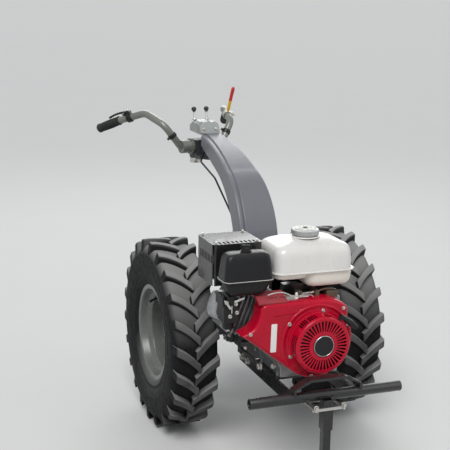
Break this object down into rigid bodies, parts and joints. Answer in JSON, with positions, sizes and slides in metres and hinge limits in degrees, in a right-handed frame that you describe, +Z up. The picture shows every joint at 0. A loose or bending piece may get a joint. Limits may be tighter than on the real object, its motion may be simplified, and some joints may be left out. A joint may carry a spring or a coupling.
{
  "type": "walking tractor",
  "caption": "Two-wheel walking tractor: front engine on a frame with a bumper bar, geared axle with lugged tyres, cranked column with swinging handlebars, and a parking leg.",
  "frame": {"origin": "on the ground under the middle of the machine's box", "axes": "+Z up; the engine points to -Y and the grips to +Y; +X is to the right hand of someone facing the engine from the front, which is the side of the starter's pull handle"},
  "size_m": [0.76, 1.589, 1.1022],
  "materials": {
    "tyre_rubber": "dusty black ribbed rubber",
    "rim_paint": "silver grey paint, worn",
    "hub_steel": "dark painted forging",
    "gearbox_iron": "charcoal painted casting",
    "engine_alloy": "cast alloy, satin",
    "engine_red": "crimson gloss paint",
    "tank_white": "white gloss coat",
    "black_plastic": "matt black moulding",
    "frame_black": "black gloss paint",
    "zinc": "zinc plate",
    "muffler_steel": "heat-dulled sheet",
    "column_grey": "charcoal satin cover",
    "console_grey": "light grey casting",
    "handle_silver": "silver grey enamel",
    "grip_rubber": "moulded grip",
    "lever_red": "red moulded lever"
  },
  "bodies": {
    "chassis": {"axle_tube_left": "gearbox_iron", "axle_tube_right": "gearbox_iron", "gearbox_housing": "gearbox_iron", "clutch_housing": "engine_alloy", "pto_stub": "hub_steel", "rear_hitch": "frame_black", "engine_block": "engine_alloy", "cylinder_barrel": "engine_alloy", "valve_cover": "engine_alloy", "fan_shroud": "engine_red", "recoil_starter": "engine_red", "starter_disc": "black_plastic", "starter_handle": "black_plastic", "fuel_tank": "tank_white", "tank_bracket": "frame_black", "fuel_cap": "console_grey", "air_cleaner_cover": "black_plastic", "air_cleaner_base": "black_plastic", "air_cleaner_knob": "black_plastic", "carburettor": "black_plastic", "control_linkage": "zinc", "muffler": "muffler_steel", "exhaust_pipe": "muffler_steel", "muffler_guard": "frame_black", "engine_frame": "frame_black", "bumper_bar": "frame_black", "bumper_hoop": "frame_black", "front_post": "frame_black", "post_clamp": "zinc", "column_cover": "column_grey", "column_spine": "frame_black", "steering_head": "frame_black", "console": "console_grey", "gear_lever": "zinc", "speed_lever": "zinc", "throttle_cable": "black_plastic"},
    "wheel_left": {"tyre_left": "tyre_rubber", "rim_left": "rim_paint", "hub_left": "hub_steel"},
    "wheel_right": {"tyre_right": "tyre_rubber", "rim_right": "rim_paint", "hub_right": "hub_steel"},
    "steering": {"handlebar_yoke": "gearbox_iron", "lock_knob": "zinc"},
    "handlebar": {"handlebar_crosspiece": "handle_silver", "handle_tube_left": "handle_silver", "handle_tube_right": "handle_silver", "grip_left": "grip_rubber", "grip_right": "grip_rubber", "clutch_lever": "lever_red"},
    "stand": {"stand_leg": "frame_black"}
  },
  "joints": [
    {"name": "wheel_left_roll", "type": "hinge", "parent": "chassis", "child": "wheel_left", "pos_m": [-0.3, -0.08251, 0.325], "axis": [1, 0, 0], "continuous": true},
    {"name": "wheel_right_roll", "type": "hinge", "parent": "chassis", "child": "wheel_right", "pos_m": [0.3, -0.08251, 0.325], "axis": [1, 0, 0], "continuous": true},
    {"name": "handlebar_swing", "type": "hinge", "parent": "chassis", "child": "steering", "pos_m": [0, 0.37949, 0.88], "axis": [0, 0, 1], "range_deg": [-22.8, 0]},
    {"name": "handlebar_height", "type": "hinge", "parent": "steering", "child": "handlebar", "pos_m": [-0.01028, 0.43046, 0.884], "axis": [0.9803, 0.1977, 0], "range_deg": [-12, 18]},
    {"name": "stand_slide", "type": "slide", "parent": "chassis", "child": "stand", "axis": [0, 0, 1], "range_m": [0, 0.17]}
  ]
}
